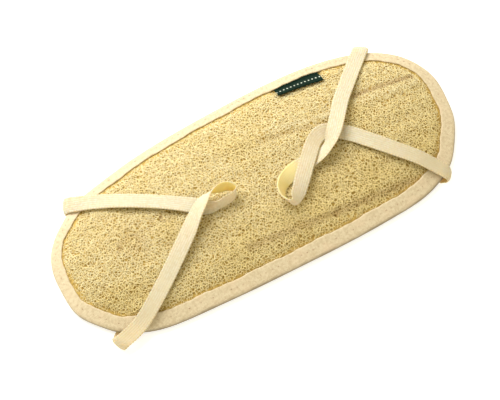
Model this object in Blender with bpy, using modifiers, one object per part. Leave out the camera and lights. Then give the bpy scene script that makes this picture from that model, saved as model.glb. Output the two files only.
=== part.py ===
"""Loofah scrubbing pad with a bound edge and two hand straps.

A long oval of pressed natural loofah lies face up on a cotton backing cloth. A cotton tape folded
over the edge binds the two together. A narrow cotton strap near each end comes out from beneath
the rim, folds up over it, crosses itself on the loofah face and forms a loop. A small folded label
is tucked under the binding on the far side.

Row frame: +X runs along the pad, +Y across it to the far edge, +Z up. The underside of the backing
cloth lies on z = 0 and the outline is centred on the origin. Lengths are metres.
"""

import math
import random

import bmesh
import bpy
import numpy as np
from mathutils import Vector
from mathutils.geometry import delaunay_2d_cdt

MM = 0.001

# Outline: a superellipse that is a little wider at the right end and bowed to the far side.
LENGTH = 350 * MM
WIDTH = 150 * MM
OUTLINE_POWER = 2.9
OUTLINE_TAPER = 0.065
OUTLINE_BOW = 3.6 * MM
# Where sewing has drawn the edge out (or, if negative, in), in millimetres: x, y, amount, reach.
EDGE_PULLS = (
    (-115, -64, 4.5, 32),
    (-166, -38, -2.4, 15),
    (-128, 62, 2.5, 18),
    (176, 14, 2.0, 18),
    (166, -40, -4.4, 21),
    (113, -68, 2.6, 24),
)

# Height of the pad's upper surface, from the bound rim to the crown.
RIM_TOP = 7.0 * MM
CROWN_RISE = 15.0 * MM
CROWN_POWER = 2.6

# Binding tape. Its folded-over width on top differs round the edge, as sewn.
TAPE_THICK = 1.1 * MM
TOP_WIDTH_LONG_SIDES = 10.5 * MM
TOP_WIDTH_ENDS = 10.3 * MM
TOP_WIDTH_SHIFT_X = 0.6 * MM
TOP_WIDTH_SHIFT_Y = -1.7 * MM
UNDER_WIDTH = 12.4 * MM
UNDER_LEVEL = 2.45 * MM
BINDING_STATIONS = 84

# Backing cloth: a shallow dish whose flat middle carries the pad.
CLOTH_THICK = 1.0 * MM
CLOTH_EDGE_INSET = 4.0 * MM
CLOTH_EDGE_LEVEL = 3.3 * MM
CLOTH_SHELF = 13.0 * MM
CLOTH_FLAT_INSET = 22.0 * MM

# Loofah: raised net of fibres round open pits, larger than life.
CELL = 5.9 * MM
CELL_JITTER = 0.26
PIT_DEPTH = 3.2 * MM
NET_JITTER = 0.15 * MM
RIB_HEIGHT = 0.55 * MM
RIB_PITCH = 21.0 * MM
TONGUE_INSET = 3.0 * MM
TONGUE_DROP = 3.0 * MM
PUFF_WIDTH = 6.0 * MM
PUFF_HEIGHT = 0.3 * MM
GAP = 0.3 * MM
SEED = 11

# Hand straps: half-inch ribbed tape.
STRAP_WIDTH = 12.8 * MM
STRAP_THICK = 1.1 * MM
STRAP_STEPS = 4

# Label: a folded tab, its root beneath the binding.
LABEL_X = 74.0 * MM
LABEL_LENGTH = 38.5 * MM
LABEL_SKEW = 0.035
LABEL_ROOT_INSET = 6.5 * MM
LABEL_REACH = 18.5 * MM
LABEL_LAYER = 0.35 * MM
LABEL_SPACING = 0.75 * MM

# Strap paths, in millimetres: x, y, z of the tape's middle, then the direction from one selvedge
# to the other as a plan angle and a tilt in degrees.
LEFT_PATH = (
    (-135.5, -42.0, 0.95, 114, 0),    # sewn end beneath the rim
    (-142.5, -47.2, 0.95, 115, 0),
    (-149.0, -52.6, 1.00, 115, 0),    # out from under the rim
    (-154.6, -57.2, 2.40, 114, 0),
    (-156.6, -58.8, 5.80, 113, 0),    # fold
    (-153.0, -58.8, 9.60, 113, 0),
    (-145.5, -57.4, 11.0, 112, 0),
    (-133.8, -54.0, 12.8, 113, 0),    # over the rim
    (-118.0, -45.8, 18.0, 119, 0),
    (-99.0, -33.3, 22.0, 124, 0),
    (-81.5, -20.9, 26.2, 126, 0),
    (-66.5, -9.9, 29.4, 127, -2),
    (-54.5, -1.0, 32.0, 128, -8),
    (-45.2, 4.6, 33.6, 122, -24),     # over the other leg
    (-37.0, 7.6, 33.2, 114, -50),
    (-29.2, 8.0, 32.2, 100, -78),
    (-22.8, 6.6, 31.2, 20, -88),
    (-19.8, 3.4, 30.6, 280, -86),     # end of the loop
    (-22.0, 0.2, 30.2, 258, -74),
    (-28.6, -0.8, 29.4, 255, -62),
    (-37.0, 0.8, 27.8, 250, -44),
    (-46.4, 5.4, 25.8, 244, -14),     # under the first leg
    (-56.5, 11.9, 25.0, 240, 6),
    (-71.0, 21.9, 25.0, 240, 12),
    (-89.5, 33.9, 23.8, 240, 14),
    (-107.5, 45.3, 20.0, 240, 12),
    (-122.5, 53.9, 16.0, 242, 6),     # over the rim
    (-132.6, 59.2, 12.6, 244, -2),
    (-139.0, 62.6, 9.60, 246, -8),
    (-141.6, 63.6, 5.80, 247, -8),    # fold
    (-139.0, 62.0, 2.20, 246, -4),
    (-134.6, 59.6, 1.00, 246, 0),
    (-129.4, 56.8, 0.95, 246, 0),     # sewn end beneath the rim
)
RIGHT_PATH = (
    (129.4, -50.4, 0.95, 47, 0),      # sewn end beneath the rim
    (132.8, -53.6, 0.95, 47, 0),
    (136.6, -57.0, 0.95, 48, 0),
    (141.4, -61.2, 1.90, 49, -2),
    (143.6, -63.0, 6.00, 50, -8),     # fold
    (140.6, -59.6, 11.2, 49, -10),
    (134.4, -52.0, 15.2, 46, -10),    # over the rim
    (124.5, -40.6, 20.8, 43, -9),
    (110.5, -25.6, 24.0, 41, -6),
    (96.5, -10.0, 25.4, 42, -2),
    (86.0, 1.5, 25.4, 47, 0),         # under the second leg
    (76.5, 8.9, 26.0, 66, 4),
    (67.0, 12.3, 27.8, 92, 18),
    (58.2, 9.3, 30.0, 116, 24),
    (49.4, 1.7, 31.2, 132, 14),
    (40.2, -7.6, 31.2, 137, 10),      # over the return
    (31.4, -16.6, 30.2, 139, 16),
    (23.8, -24.0, 28.6, 141, 36),
    (17.4, -27.6, 28.2, 150, 62),     # end of the loop
    (13.4, -22.8, 28.4, 146, 64),
    (14.0, -15.2, 28.4, 134, 58),
    (19.5, -9.2, 27.6, 124, 44),
    (28.8, -5.4, 25.8, 116, 20),
    (39.5, -3.3, 25.2, 112, 0),       # under the band
    (49.0, -3.3, 26.0, 118, -16),
    (58.0, -3.1, 28.6, 126, -38),
    (66.0, 0.1, 31.0, 132, -46),
    (73.5, 6.7, 33.6, 138, -20),      # over the first leg
    (82.5, 16.5, 32.0, 146, -8),
    (93.5, 29.3, 28.0, 150, -2),
    (106.5, 41.5, 22.8, 151, 0),
    (118.5, 52.5, 17.6, 151, 0),
    (129.0, 62.0, 12.8, 151, 0),      # over the rim
    (134.8, 67.4, 9.90, 151, 0),
    (137.2, 69.8, 5.60, 151, 2),      # fold
    (135.0, 67.6, 1.90, 150, 1),
    (131.0, 63.2, 0.95, 149, 0),
    (126.6, 58.2, 0.95, 148, 0),      # sewn end beneath the rim
)

# Colour, roughness and metallic of each material, read from the photograph.
LOOFAH_LOOK = ((0.72, 0.53, 0.25, 1.0), 0.85, 0.0)
COTTON_LOOK = ((0.87, 0.76, 0.55, 1.0), 0.8, 0.0)
CLOTH_LOOK = ((0.85, 0.78, 0.62, 1.0), 0.9, 0.0)
LABEL_LOOK = ((0.012, 0.05, 0.03, 1.0), 0.6, 0.0)


def dense_outline(count=1440):
    """Returns the outline's points and inward normals, evenly spaced, anticlockwise."""
    t = np.linspace(0.0, 2 * math.pi, 4 * count, endpoint=False)
    c, s = np.cos(t), np.sin(t)
    x = LENGTH / 2 * np.sign(c) * np.abs(c) ** (2 / OUTLINE_POWER)
    y = WIDTH / 2 * np.sign(s) * np.abs(s) ** (2 / OUTLINE_POWER)
    u = 2 * x / LENGTH
    y = y * (1 + OUTLINE_TAPER * u) + OUTLINE_BOW * (1 - u * u)
    points = np.stack([x, y], 1)
    for at_x, at_y, amount, reach in EDGE_PULLS:
        at = np.array([at_x, at_y]) * MM
        near = np.exp(-((points - at) ** 2).sum(1) / (reach * MM) ** 2)
        points += amount * MM * near[:, None] * at / np.linalg.norm(at)
    closed = np.vstack([points, points[:1]])
    run = np.concatenate([[0.0], np.cumsum(np.linalg.norm(np.diff(closed, axis=0), axis=1))])
    even = np.linspace(0.0, run[-1], count, endpoint=False)
    points = np.stack([np.interp(even, run, closed[:, k]) for k in (0, 1)], 1)
    along = np.roll(points, -6, axis=0) - np.roll(points, 6, axis=0)
    along /= np.linalg.norm(along, axis=1)[:, None]
    return points, np.stack([-along[:, 1], along[:, 0]], 1)


OUTLINE, INWARD = dense_outline()


def nearest_station(x, y):
    """Returns the outline station nearest to a point, and the point's inset from it."""
    gap = np.hypot(OUTLINE[:, 0] - x, OUTLINE[:, 1] - y)
    i = int(gap.argmin())
    return i, float((np.array([x, y]) - OUTLINE[i]) @ INWARD[i])


def inset_point(station, inset, level):
    """Returns the point a given distance inside an outline station, at a height."""
    i = int(round(station)) % len(OUTLINE)
    x, y = OUTLINE[i] + INWARD[i] * inset
    return Vector((x, y, level))


def crown(inset):
    """Returns the height of the pad's upper surface at an inset from the edge."""
    left = 1.0 - min(max(inset / (WIDTH / 2), 0.0), 1.0)
    return RIM_TOP + CROWN_RISE * (1.0 - left ** CROWN_POWER)


def top_width(station):
    """Returns how far the binding reaches in over the loofah at an outline station."""
    nx, ny = -INWARD[int(round(station)) % len(INWARD)]
    return (TOP_WIDTH_LONG_SIDES * ny * ny + TOP_WIDTH_ENDS * nx * nx
            + TOP_WIDTH_SHIFT_X * nx + TOP_WIDTH_SHIFT_Y * ny)


def smooth_step(value):
    """Eases a value from 0 to 1."""
    v = min(max(value, 0.0), 1.0)
    return v * v * (3.0 - 2.0 * v)


def make_collection(name):
    """Makes a collection in the scene."""
    collection = bpy.data.collections.new(name)
    bpy.context.scene.collection.children.link(collection)
    return collection


def make_material(name, look):
    """Makes a Principled material from a colour, roughness and metallic."""
    colour, roughness, metallic = look
    material = bpy.data.materials.new(name)
    material.use_nodes = True
    shader = material.node_tree.nodes["Principled BSDF"]
    shader.inputs["Base Color"].default_value = colour
    shader.inputs["Roughness"].default_value = roughness
    shader.inputs["Metallic"].default_value = metallic
    material.diffuse_color = colour
    return material


def add_object(name, bm, collection, material, smooth=True):
    """Turns a bmesh into a named object with one material."""
    bmesh.ops.recalc_face_normals(bm, faces=bm.faces)
    mesh = bpy.data.meshes.new(name)
    bm.to_mesh(mesh)
    bm.free()
    mesh.materials.append(material)
    for face in mesh.polygons:
        face.use_smooth = smooth
    thing = bpy.data.objects.new(name, mesh)
    collection.objects.link(thing)
    return thing


def thicken(thing, thickness, offset=0.0):
    """Gives a sheet its thickness."""
    modifier = thing.modifiers.new("Thickness", "SOLIDIFY")
    modifier.thickness = thickness
    modifier.offset = offset
    modifier.use_even_offset = True


def bend_grid(columns, rows, place, closed=False):
    """Makes a grid sheet and moves each vertex to place(u, v), with u and v from 0 to 1."""
    bm = bmesh.new()
    bmesh.ops.create_grid(bm, x_segments=columns, y_segments=rows, size=1.0)
    for vert in bm.verts:
        vert.co = place((vert.co.x + 1) / 2, (vert.co.y + 1) / 2)
    if closed:
        bmesh.ops.remove_doubles(bm, verts=bm.verts, dist=0.00005)
    return bm


def border_edges(bm):
    """Returns the edges that have only one face."""
    return [edge for edge in bm.edges if len(edge.link_faces) == 1]


def grow_ring(bm, inset, level):
    """Extrudes the open border and lays the new ring at an inset and a height."""
    grown = bmesh.ops.extrude_edge_only(bm, edges=border_edges(bm))["geom"]
    for vert in (item for item in grown if isinstance(item, bmesh.types.BMVert)):
        station, _ = nearest_station(vert.co.x, vert.co.y)
        vert.co = inset_point(station, inset, level)


def binding_profile(station):
    """Returns the binding's middle line as (inset, height), from the underside to the top edge."""
    half = TAPE_THICK / 2
    width = top_width(station)
    low, side = UNDER_LEVEL, half
    line = [(UNDER_WIDTH, low), (UNDER_WIDTH * 0.6, low), (3.6 * MM, low), (1.6 * MM, low + 0.3 * MM),
            (side + 0.2 * MM, low + 1.2 * MM), (side, low + 2.7 * MM), (side + 0.5 * MM, low + 4.1 * MM)]
    for inset in (2.2 * MM, 5.2 * MM, (5.2 * MM + width) / 2, width):
        line.append((inset, crown(inset) - half))
    return line


def build_binding(collection, material):
    """Builds the tape folded round the edge."""
    step = len(OUTLINE) / BINDING_STATIONS
    profiles = [binding_profile(i * step) for i in range(BINDING_STATIONS)]
    rows = len(profiles[0]) - 1

    def place(u, v):
        i = int(round(u * BINDING_STATIONS)) % BINDING_STATIONS
        inset, level = profiles[i][int(round(v * rows))]
        return inset_point(i * step, inset, level)

    bm = bend_grid(BINDING_STATIONS, rows, place, closed=True)
    thicken(add_object("edge_binding", bm, collection, material), TAPE_THICK)


def build_backing(collection, material):
    """Builds the backing cloth as a shallow dish with a flat middle."""
    bm = bmesh.new()
    count = BINDING_STATIONS
    step = len(OUTLINE) / count
    outer, shelf = ([bm.verts.new(inset_point(i * step, inset, CLOTH_EDGE_LEVEL)) for i in range(count)]
                    for inset in (CLOTH_EDGE_INSET, CLOTH_SHELF))
    for i in range(count):
        k = (i + 1) % count
        bm.faces.new((outer[i], outer[k], shelf[k], shelf[i]))
    inner = [edge for edge in border_edges(bm) if edge.verts[0] in shelf and edge.verts[1] in shelf]
    grown = bmesh.ops.extrude_edge_only(bm, edges=inner)["geom"]
    for vert in (item for item in grown if isinstance(item, bmesh.types.BMVert)):
        station, _ = nearest_station(vert.co.x, vert.co.y)
        vert.co = inset_point(station, CLOTH_FLAT_INSET, 0.0)
    flat = [e for e in border_edges(bm) if all(v.co.z < MM * 0.01 for v in e.verts)]
    bmesh.ops.edgeloop_fill(bm, edges=flat)
    cloth = add_object("backing_cloth", bm, collection, material)
    up = sum(face.normal.z for face in cloth.data.polygons) > 0
    thicken(cloth, CLOTH_THICK, 1.0 if up else -1.0)


def label_cover(x, inset):
    """Returns how much the label presses the loofah down at a point, from 0 to 1."""
    across = smooth_step((LABEL_LENGTH / 2 + 5 * MM - abs(x - LABEL_X)) / (4 * MM))
    return across * smooth_step((LABEL_REACH + 6 * MM - inset) / (4 * MM))


def loofah_top(x, y, inset, station):
    """Returns the height of the loofah's raised net at a point."""
    beyond = inset - top_width(station)
    puff = smooth_step(beyond / PUFF_WIDTH)
    if y > 0:
        puff *= 1.0 - 0.85 * label_cover(x, inset)
    wander = 3.0 * MM * math.sin(x / (31 * MM)) + 2.0 * MM * math.sin(x / (13 * MM) + 1.1)
    rib = RIB_HEIGHT * math.cos(2 * math.pi * (y + wander) / RIB_PITCH)
    return crown(inset) - TONGUE_DROP + puff * (TONGUE_DROP + PUFF_HEIGHT + rib)


def loofah_seeds(rng):
    """Returns the plan points of the net's pits, on a shaken triangular grid."""
    seeds = []
    row_step = CELL * math.sqrt(3) / 2
    for row in range(-int(WIDTH / row_step), int(WIDTH / row_step) + 1):
        for column in range(-int(LENGTH / CELL), int(LENGTH / CELL) + 1):
            x = (column + 0.5 * (row % 2)) * CELL + rng.uniform(-1, 1) * CELL * CELL_JITTER
            y = row * row_step + rng.uniform(-1, 1) * CELL * CELL_JITTER
            if abs(x) < LENGTH / 2 and abs(y) < WIDTH * 0.56:
                station, inset = nearest_station(x, y)
                if inset > top_width(station) + 3.0 * MM:
                    seeds.append((x, y))
    return seeds


def build_loofah(collection, material):
    """Builds the loofah: a raised net over open pits, closed beneath by a plain underside."""
    rng = random.Random(SEED)
    step = len(OUTLINE) / BINDING_STATIONS
    border = [inset_point(i * step, TONGUE_INSET, 0).xy for i in range(BINDING_STATIONS)]
    seam = [inset_point(i * step / 1.4, top_width(i * step / 1.4) + 0.5 * MM, 0).xy
            for i in range(int(BINDING_STATIONS * 1.4))]
    points = border + seam + [Vector(seed) for seed in loofah_seeds(rng)]
    verts, _, faces, *_ = delaunay_2d_cdt(points, [], [list(range(len(border)))], 1, 1e-6)
    bm = bmesh.new()
    bm_verts = [bm.verts.new((v.x, v.y, 0.0)) for v in verts]
    for face in faces:
        bm.faces.new([bm_verts[i] for i in face])

    insets = {}
    for vert in bm.verts:
        station, inset = nearest_station(vert.co.x, vert.co.y)
        insets[vert] = (station, inset)
    open_verts = {v for v, (s, d) in insets.items() if d > top_width(s) - 0.1 * MM}
    netted = [f for f in bm.faces if all(v in open_verts for v in f.verts)]
    chosen = set(netted)
    shared = [e for e in bm.edges if len(e.link_faces) == 2 and all(f in chosen for f in e.link_faces)]
    knots = bmesh.ops.poke(bm, faces=netted)["verts"]
    bmesh.ops.rotate_edges(bm, edges=shared, use_ccw=False)

    knots = set(knots)
    for vert in bm.verts:
        station, inset = nearest_station(vert.co.x, vert.co.y)
        level = loofah_top(vert.co.x, vert.co.y, inset, station)
        pressed = smooth_step((inset - top_width(station)) / PUFF_WIDTH)
        if vert in knots:
            level += rng.uniform(-1, 1) * NET_JITTER * pressed
        elif vert in open_verts:
            level -= PIT_DEPTH * pressed * rng.uniform(0.6, 1.2)
        vert.co.z = level

    grow_ring(bm, TONGUE_INSET, CLOTH_EDGE_LEVEL + CLOTH_THICK + GAP)
    grow_ring(bm, CLOTH_SHELF, CLOTH_EDGE_LEVEL + CLOTH_THICK + GAP)
    grow_ring(bm, CLOTH_FLAT_INSET, CLOTH_THICK + GAP)
    bmesh.ops.edgeloop_fill(bm, edges=border_edges(bm))
    add_object("loofah_pad", bm, collection, material, smooth=False)


def path_samples(path):
    """Returns evenly smoothed centre points and selvedge directions along a strap path."""
    knots = np.array([row[:3] for row in path]) * MM
    azimuth, tilt = np.radians([row[3] for row in path]), np.radians([row[4] for row in path])
    cross = np.stack([np.cos(azimuth) * np.cos(tilt), np.sin(azimuth) * np.cos(tilt), np.sin(tilt)], 1)
    chord = np.sqrt(np.linalg.norm(np.diff(knots, axis=0), axis=1))
    time = np.concatenate([[0.0], np.cumsum(chord)])

    def spline(values):
        slope = np.gradient(values, time, axis=0)
        samples = []
        for i in range(len(values) - 1):
            span = time[i + 1] - time[i]
            for k in range(STRAP_STEPS):
                t = k / STRAP_STEPS
                samples.append((2 * t**3 - 3 * t**2 + 1) * values[i]
                               + (t**3 - 2 * t**2 + t) * span * slope[i]
                               + (3 * t**2 - 2 * t**3) * values[i + 1]
                               + (t**3 - t**2) * span * slope[i + 1])
        return np.array(samples + [values[-1]])

    centre, side = spline(knots), spline(cross)
    ahead = np.gradient(centre, axis=0)
    ahead /= np.linalg.norm(ahead, axis=1)[:, None]
    side -= (side * ahead).sum(1)[:, None] * ahead
    side /= np.linalg.norm(side, axis=1)[:, None]
    return centre, side


def build_strap(name, path, collection, material):
    """Builds one hand strap as a tape swept along its path."""
    centre, side = path_samples(path)
    spans = len(centre) - 1

    def place(u, v):
        i = int(round(u * spans))
        return Vector(centre[i] + side[i] * STRAP_WIDTH * (v - 0.5))

    bm = bend_grid(spans, 2, place)
    thicken(add_object(name, bm, collection, material), STRAP_THICK)


def build_label(collection, material):
    """Builds the folded tab: two layers joined by a fold at its free edge."""
    half = LABEL_SPACING / 2
    reach = LABEL_REACH
    profile = [(LABEL_ROOT_INSET, -half), (reach * 0.55, -half), (reach * 0.8, -half), (reach, -half),
               (reach + half, 0.0),
               (reach, half), (reach * 0.8, half), (reach * 0.55, half), (LABEL_ROOT_INSET, half)]
    rows = len(profile) - 1

    def place(u, v):
        x = LABEL_X + LABEL_LENGTH * (u - 0.5)
        inset, lift = profile[int(round(v * rows))]
        out = (inset - LABEL_ROOT_INSET) / (reach - LABEL_ROOT_INSET)
        inset += LABEL_SKEW * (x - LABEL_X) * 2.0 * out
        edge = max(OUTLINE[np.abs(OUTLINE[:, 0] - x) < 2 * MM][:, 1])
        station, true_inset = nearest_station(x, edge - inset)
        out = smooth_step((true_inset - top_width(station) - GAP) / (7 * MM))
        return Vector((x, edge - inset, crown(true_inset) - 2.1 * MM + 2.4 * MM * out + lift))

    bm = bend_grid(10, rows, place)
    thicken(add_object("label", bm, collection, material), LABEL_LAYER)


def main():
    """Builds the whole pad."""
    for thing in list(bpy.data.objects):
        bpy.data.objects.remove(thing, do_unlink=True)
    parts = make_collection("loofah_scrubbing_pad")
    cotton = make_material("cotton_tape", COTTON_LOOK)
    build_loofah(parts, make_material("loofah", LOOFAH_LOOK))
    build_backing(parts, make_material("backing_cloth", CLOTH_LOOK))
    build_binding(parts, cotton)
    strap_cotton = make_material("strap_tape", COTTON_LOOK)
    build_strap("hand_strap_left", LEFT_PATH, parts, strap_cotton)
    build_strap("hand_strap_right", RIGHT_PATH, parts, strap_cotton)
    build_label(parts, make_material("label_cloth", LABEL_LOOK))


main()
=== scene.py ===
"""Dressed model of a long oval loofah scrubbing pad.

The pad is an open net of dry loofah fibres on a cotton backing. A cotton tape is folded round its
edge and stitched, two ribbed hand straps lie folded over the loofah face, and a small dark woven
label is tucked under the tape. Every piece lies where the solid that it stands for lies, and only
the left strap's loop stands a little more on edge.
"""

from __future__ import annotations

import logging
import math
import random
from dataclasses import dataclass, field
from enum import Enum

import bmesh
import bpy
import numpy as np
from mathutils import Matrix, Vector
from mathutils.geometry import delaunay_2d_cdt

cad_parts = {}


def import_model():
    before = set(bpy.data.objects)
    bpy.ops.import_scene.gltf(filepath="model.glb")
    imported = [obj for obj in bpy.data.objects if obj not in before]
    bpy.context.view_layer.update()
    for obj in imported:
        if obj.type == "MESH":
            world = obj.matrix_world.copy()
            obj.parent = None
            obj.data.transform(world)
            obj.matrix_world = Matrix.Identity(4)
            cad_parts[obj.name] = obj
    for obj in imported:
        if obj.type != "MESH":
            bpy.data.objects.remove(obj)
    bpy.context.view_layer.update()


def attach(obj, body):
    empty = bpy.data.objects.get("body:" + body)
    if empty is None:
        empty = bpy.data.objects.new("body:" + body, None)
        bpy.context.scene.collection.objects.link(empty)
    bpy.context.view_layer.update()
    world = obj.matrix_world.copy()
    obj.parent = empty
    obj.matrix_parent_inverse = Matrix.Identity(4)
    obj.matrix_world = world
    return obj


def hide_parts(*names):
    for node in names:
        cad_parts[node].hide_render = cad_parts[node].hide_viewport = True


LOG = logging.getLogger("loofah_pad")
MM = 0.001
Colour = tuple[float, float, float]


class Body(Enum):
    """Names of the solids that the dressed pieces stand for."""

    LOOFAH = "loofah_pad"
    BACKING = "backing_cloth"
    BINDING = "edge_binding"
    STRAP_LEFT = "hand_strap_left"
    STRAP_RIGHT = "hand_strap_right"
    LABEL = "label"


class Slot(Enum):
    """Material slots of the record."""

    LOOFAH = "loofah"
    BACKING = "backing_cloth"
    TAPE = "cotton_tape"
    STRAP = "strap_tape"
    LABEL = "label_cloth"


# Shader and geometry node helpers


@dataclass(frozen=True)
class Wire:
    """A shader value that ordinary operators turn into Math nodes."""

    web: ShaderWeb
    socket: bpy.types.NodeSocket

    def _math(self, operation: str, *others: Wire | float, first: bool = True) -> Wire:
        """Adds one Math node.

        Args:
            operation: the Math node's operation.
            others: the other operands.
            first: whether this value is the first operand.

        Returns:
            The node's result.
        """
        operands = [self, *others] if first else [*others, self]
        return self.web.node("ShaderNodeMath", {"operation": operation}, dict(enumerate(operands)))

    def __add__(self, other: Wire | float) -> Wire:
        """Returns self + other."""
        return self._math("ADD", other)

    def __sub__(self, other: Wire | float) -> Wire:
        """Returns self - other."""
        return self._math("SUBTRACT", other)

    def __rsub__(self, other: float) -> Wire:
        """Returns other - self."""
        return self._math("SUBTRACT", other, first=False)

    def __mul__(self, other: Wire | float) -> Wire:
        """Returns self * other."""
        return self._math("MULTIPLY", other)

    __radd__ = __add__
    __rmul__ = __mul__

    def sine(self) -> Wire:
        """Returns the sine of the value."""
        return self._math("SINE")

    def size(self) -> Wire:
        """Returns the value without its sign."""
        return self._math("ABSOLUTE")

    def root(self) -> Wire:
        """Returns the square root of the value."""
        return self._math("SQRT")

    def most(self, other: Wire | float) -> Wire:
        """Returns the larger of two values."""
        return self._math("MAXIMUM", other)

    def ramp(self, low: float, high: float) -> Wire:
        """Returns 0 at low and 1 at high, eased between them."""
        settings = {"interpolation_type": "SMOOTHSTEP"}
        return self.web.node("ShaderNodeMapRange", settings, {0: self, 1: low, 2: high})


class ShaderWeb:
    """A Principled material and the nodes that feed it."""

    def __init__(self, name: str, colour: Colour, roughness: float) -> None:
        """Makes the material.

        Args:
            name: the material's name.
            colour: its plain colour, for viewports.
            roughness: its roughness.
        """
        self.material = bpy.data.materials.new(name)
        self.material.use_nodes = True
        self.material.diffuse_color = (*colour, 1.0)
        self.tree = self.material.node_tree
        self.shader = self.tree.nodes["Principled BSDF"]
        self.shader.inputs["Roughness"].default_value = roughness
        self.shader.inputs["Base Color"].default_value = (*colour, 1.0)

    def node(self, kind: str, settings: dict | None = None, values: dict | None = None,
             output: int | str = 0) -> Wire:
        """Adds a node of any type.

        Args:
            kind: the node's type.
            settings: attributes, set before its sockets.
            values: values or wires by socket name or number.
            output: which output to return.

        Returns:
            The chosen output.
        """
        made = self.tree.nodes.new(kind)
        for key, value in (settings or {}).items():
            setattr(made, key, value)
        for key, value in (values or {}).items():
            if isinstance(value, Wire):
                self.tree.links.new(value.socket, made.inputs[key])
            else:
                made.inputs[key].default_value = value
        return Wire(self, made.outputs[output])

    def place(self) -> Wire:
        """Returns the point on the piece, in metres."""
        return self.node("ShaderNodeTexCoord", output="Object")

    def split(self, point: Wire) -> tuple[Wire, Wire]:
        """Returns the x and y of a point."""
        x, y = (self.node("ShaderNodeSeparateXYZ", values={0: point}, output=k) for k in (0, 1))
        return x, y

    def point(self, x: Wire, y: Wire) -> Wire:
        """Returns the point with this x and y."""
        return self.node("ShaderNodeCombineXYZ", values={0: x, 1: y})

    def cloth(self) -> tuple[Wire, Wire]:
        """Returns the distances along and across the cloth, in metres."""
        return self.split(self.node("ShaderNodeUVMap", {"uv_map": "cloth"}))

    def noise(self, scale: float, detail: float = 3.0, where: Wire | None = None) -> Wire:
        """Returns soft noise from 0 to 1.

        Args:
            scale: its spots per metre.
            detail: how many finer layers it has.
            where: the point that it is read at.

        Returns:
            The noise.
        """
        values = {"Vector": where or self.place(), "Scale": scale, "Detail": detail}
        return self.node("ShaderNodeTexNoise", values=values)

    def blend(self, share: Wire | float, low: Wire | Colour, high: Wire | Colour) -> Wire:
        """Returns a colour between two colours."""
        low, high = (c if isinstance(c, Wire) else (*c, 1.0) for c in (low, high))
        return self.node("ShaderNodeMix", {"data_type": "RGBA"}, {0: share, 6: low, 7: high}, 2)

    def near_line(self, start: tuple[float, float], end: tuple[float, float], reach: float) -> Wire:
        """Returns 1 on a plan line on the pad and 0 beyond its reach.

        Args:
            start: one end, in metres.
            end: the other end.
            reach: how far the mask spreads.

        Returns:
            The mask.
        """
        x, y = self.split(self.place())
        dx, dy = end[0] - start[0], end[1] - start[1]
        run = math.hypot(dx, dy)
        ux, uy = (dx / run, dy / run) if run else (1.0, 0.0)
        along = (x - start[0]) * ux + (y - start[1]) * uy
        off = (x - start[0]) * -uy + (y - start[1]) * ux
        beyond = (0.0 - along).most(along - run).most(0.0)
        return 1.0 - (beyond * beyond + off * off).root().ramp(0.0, reach)

    def finish(self, colour: Wire, height: Wire, depth: float) -> bpy.types.Material:
        """Connects the shader.

        Args:
            colour: the base colour.
            height: the bump's height, from 0 to 1.
            depth: the bump's depth, in metres.

        Returns:
            The material.
        """
        self.tree.links.new(colour.socket, self.shader.inputs["Base Color"])
        bump = self.node("ShaderNodeBump", values={"Height": height, "Distance": depth,
                                                   "Strength": 1.0})
        self.tree.links.new(bump.socket, self.shader.inputs["Normal"])
        return self.material


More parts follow.
